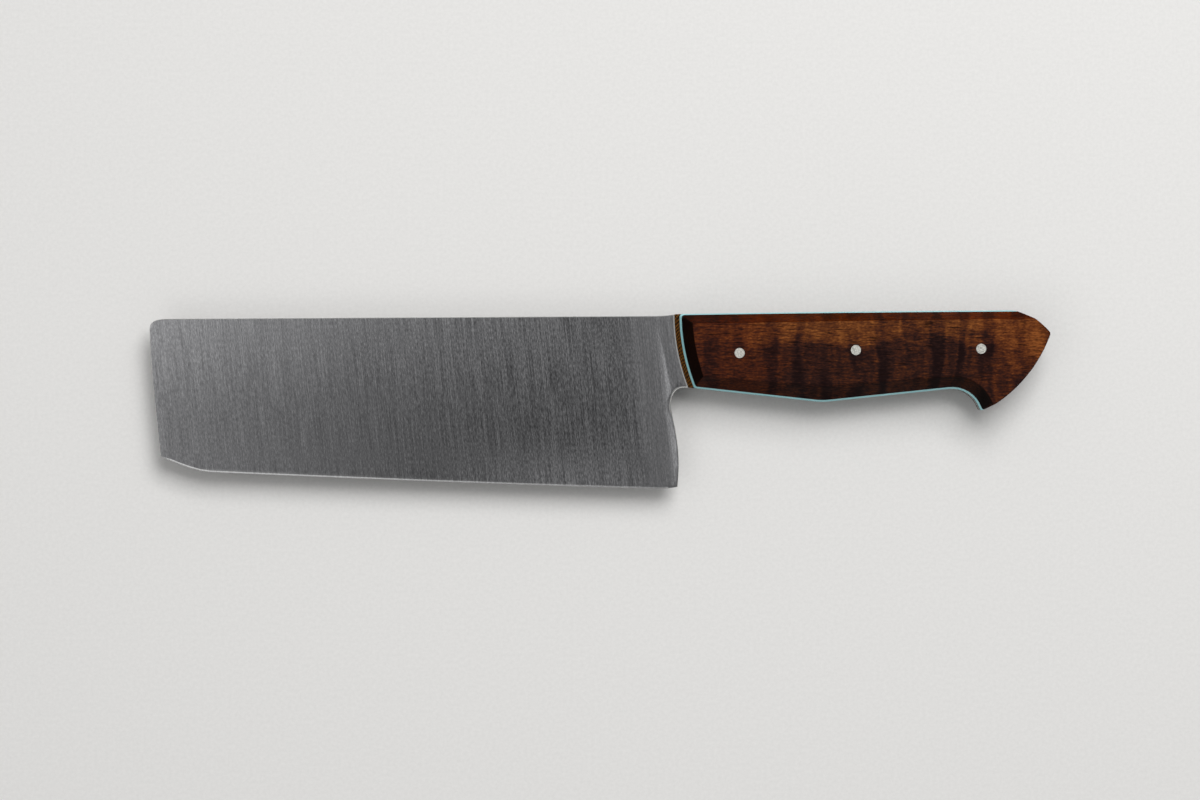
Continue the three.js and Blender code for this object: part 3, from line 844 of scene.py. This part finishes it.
def face_points(border, holes):
    """Places inside the blade's face, and the pairs of them that must be joined along the plunge."""
    places = [place for place in open_places() if clear_of(place, border, holes)]
    pairs = []
    for line in plunge_lines():
        last = None
        for place in line:
            if clear_of(place, border, holes):
                places.append(place)
                if last is not None:
                    pairs.append((last, len(places) - 1))
                last = len(places) - 1
            else:
                last = None
    return places, pairs


def face_triangles(border, holes):
    """The blade's face seen from above: its places, the border's first, then the holes', and its faces."""
    inner, pairs = face_points(border, holes)
    places, joins = [], []
    for loop in (border, *holes):
        first = len(places)
        joins += [(first + index, first + (index + 1) % len(loop)) for index in range(len(loop))]
        places += loop
    joins += [(len(places) + start, len(places) + end) for start, end in pairs]
    flat = [place.xy for place in places + inner]
    spots, _, faces, _, _, _ = delaunay_2d_cdt(flat, joins, [], 1, WELD_GAP)
    kept = []
    for face in faces:
        centre = sum((spots[index] for index in face), Vector((0, 0))) / len(face)
        if not any(inside(centre, hole) for hole in holes):
            kept.append(face)
    return spots, kept


def add_belt_map(mesh):
    """A map over the blade whose first axis runs from tip to butt, for the direction of the gloss."""
    layer = mesh.uv_layers.new(name="belt")
    for loop in mesh.loops:
        place = mesh.vertices[loop.vertex_index].co
        layer.data[loop.index].uv = (place.x + place.z / 2, place.y + place.z / 2)


def make_blade():
    """The blade: ground faces, soft plunge crests, eased rims, a fine cutting edge and the pin holes."""
    outline, on_edge, holes = steel_outline()
    rings = list(zip(*(rim_steps(outline, index, flag) for index, flag in enumerate(on_edge))))
    border = [spot for spot, _ in rings[-1]]
    spots, faces = face_triangles(border, holes)
    edge_sides = [index for index in range(len(outline)) if on_edge[index - 1] and on_edge[index]]

    work = bmesh.new()
    walls, mouths, shoulders = [], [], []
    for side in (1, -1):
        def raised(spot, half):
            return work.verts.new((spot.x, spot.y, STEEL_MIDDLE + side * half))
        rim = [[raised(spot, half) for spot, half in ring] for ring in rings[:-1]]
        skin = [raised(spot, steel_half(spot)) for spot in spots]
        rim.append(skin[:len(border)])
        sew_rings(work, rim)
        for face in faces:
            work.faces.new([skin[index] for index in face])
        shoulders += [work.edges.get((rim[-1][index - 1], rim[-1][index])) for index in edge_sides]
        walls.append(rim[0])
        first = len(border)
        mouths.append([])
        for hole in holes:
            mouths[-1].append(skin[first:first + len(hole)])
            first += len(hole)
    top, bottom = walls
    for index in range(len(outline)):
        if index not in edge_sides:
            work.faces.new((top[index - 1], top[index], bottom[index], bottom[index - 1]))
    for above, below in zip(*mouths):
        sew_rings(work, [above, below])
    work.normal_update()
    soften_shading(work)
    for edge in shoulders:
        edge.smooth = False
    bmesh.ops.remove_doubles(work, verts=top + bottom, dist=WELD_GAP)
    mesh = finished_mesh(work, "blade_shape")
    add_belt_map(mesh)
    add_piece("knife_blade", mesh, "blade", "blade_steel")


# Handle

def make_scale(side):
    """A handle scale lofted from its packed outlines, with eased face edges and a rounder butt edge."""
    node = "scale_" + side
    low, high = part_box(node)
    face_level, glue_level = (high.z, low.z) if side == "left" else (low.z, high.z)
    packed = welded_copy(node)
    foot, *foot_holes = outline_loops(packed, glue_level)
    face, *face_holes = outline_loops(packed, face_level)
    packed.free()

    work = bmesh.new()
    rings = [[] for _ in range(EASE_STEPS + 2)]
    for index, (below, above) in enumerate(zip(foot, face)):
        along = (face[(index + 1) % len(face)] - face[index - 1]).normalized()
        inward = Vector((-along.y, along.x, 0.0))
        slope = min(1.0, (below - above).xy.length / SLOPED_SIDE)
        radius = lerp(BUTT_EDGE_ROUNDING, WOOD_EDGE_ROUNDING, slope)
        start = above + (below - above).normalized() * radius
        end = above + inward * radius
        rings[0].append(work.verts.new(below))
        for step in range(EASE_STEPS + 1):
            share = step / EASE_STEPS
            place = start.lerp(above, share).lerp(above.lerp(end, share), share)
            rings[step + 1].append(work.verts.new(place))
    sew_rings(work, rings)
    mouths = [[work.verts.new(point) for point in hole] for hole in face_holes]
    sockets = [[work.verts.new(point) for point in hole] for hole in foot_holes]
    for mouth, socket in zip(mouths, sockets):
        sew_rings(work, [mouth, socket])
    caps = fill_flat(work, [rings[0], *sockets]) + fill_flat(work, [rings[-1], *mouths])
    work.normal_update()
    soften_shading(work, caps)
    add_piece("handle_" + node, finished_mesh(work, node + "_shape"), node, "figured_wood")


def make_pin(node):
    """A pin with a flat sanded end and an eased rim on each side."""
    low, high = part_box(node)
    middle = (low + high) / 2
    flat = (high.x - low.x) / 2 - PIN_EDGE_ROUNDING
    turns = [math.radians(90 * step / EASE_STEPS) for step in range(EASE_STEPS + 1)]
    rim = [(flat + PIN_EDGE_ROUNDING * math.sin(turn), PIN_EDGE_ROUNDING * (1 - math.cos(turn)))
           for turn in turns]
    levels = [(reach, high.z - drop) for reach, drop in rim]
    levels += [(reach, low.z + drop) for reach, drop in reversed(rim)]
    work = bmesh.new()
    rings = []
    for reach, level in levels:
        ring = []
        for index in range(PIN_SIDES):
            turn = 2 * math.pi * index / PIN_SIDES
            place = (middle.x + reach * math.cos(turn), middle.y + reach * math.sin(turn), level)
            ring.append(work.verts.new(place))
        rings.append(ring)
    sew_rings(work, rings)
    ends = [work.faces.new(rings[0]), work.faces.new(rings[-1])]
    work.normal_update()
    soften_shading(work, ends)
    add_piece("handle_" + node, finished_mesh(work, node + "_shape"), node, "pin_metal")


def finish_liner(node, slot):
    """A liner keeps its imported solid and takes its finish."""
    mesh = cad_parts[node].data
    mesh.materials.clear()
    mesh.materials.append(FINISHES[slot])


make_blade()
for handle_side in HANDLE_SIDES:
    make_scale(handle_side)
    finish_liner("inner_liner_" + handle_side, "weave_laminate")
    finish_liner("outer_liner_" + handle_side, "teal_laminate")
for pin_name in PIN_NAMES:
    make_pin(pin_name)


# Floor, light and camera

def make_floor():
    """A wide round card that the knife lies on."""
    work = bmesh.new()
    bmesh.ops.create_circle(work, cap_ends=True, segments=FLOOR_SIDES, radius=FLOOR_RADIUS)
    mesh = finished_mesh(work, "floor")
    mesh.materials.append(make_floor_card())
    piece = bpy.data.objects.new("floor", mesh)
    bpy.context.scene.collection.objects.link(piece)


def make_softbox(name, place, width, depth, watts, mirrored=True):
    """A soft light turned to the knife, in metres and watts, which the steel may mirror or not."""
    light = bpy.data.lights.new(name, "AREA")
    light.shape = "RECTANGLE"
    light.size = width
    light.size_y = depth
    light.energy = watts
    piece = bpy.data.objects.new(name, light)
    bpy.context.scene.collection.objects.link(piece)
    piece.location = place
    piece.rotation_euler = (-Vector(place)).to_track_quat("-Z", "Y").to_euler()
    piece.visible_glossy = mirrored


def make_room():
    """Even light from all round: pale walls, and a quieter ceiling that is palest just behind the knife."""
    def grey(level):
        return (level, level, level, 1.0)
    world = bpy.data.worlds.new("studio_room")
    world.use_nodes = True
    tree = world.node_tree
    tree.nodes.clear()
    _, behind, height = axes(tree, add_node(tree, "ShaderNodeTexCoord").outputs["Generated"])
    stops = [(position, grey(level)) for position, level in CEILING_GREYS]
    ceiling = tone_ramp(tree, pushed(tree, 0.5, behind, 0.5), stops)
    colour = blend(tree, smooth_step(tree, height, 0.0, WALL_TOP), grey(WALL_GREY), ceiling)
    background = add_node(tree, "ShaderNodeBackground", {"Color": colour, "Strength": 1.0})
    add_node(tree, "ShaderNodeOutputWorld", {"Surface": background.outputs[0]})
    bpy.context.scene.world = world


def make_camera():
    """The photograph's view, from straight above."""
    lens = bpy.data.cameras.new("photo_view")
    lens.lens = CAMERA_LENS
    lens.sensor_width = CAMERA_SENSOR
    lens.sensor_fit = "HORIZONTAL"
    lens.clip_end = CAMERA_REACH
    camera = bpy.data.objects.new("photo_view", lens)
    camera.location = (*CAMERA_AIM, STEEL_MIDDLE + CAMERA_HEIGHT)
    bpy.context.scene.collection.objects.link(camera)
    bpy.context.scene.camera = camera


make_floor()
make_softbox("key_upper_right", place=(0.33, 0.66, 1.2), width=0.8, depth=0.8, watts=14.7, mirrored=False)
make_softbox("glow_left", place=(-0.7, 0.0, 1.2), width=0.6, depth=0.8, watts=0.95)
make_softbox("fill_lower_left", place=(-0.55, -0.65, 1.1), width=0.9, depth=0.6, watts=1.6)
make_softbox("strip_behind", place=(-0.06, 1.15, 1.1), width=1.6, depth=0.16, watts=0.5)
make_room()
make_camera()
bpy.context.scene.view_settings.view_transform = "Standard"
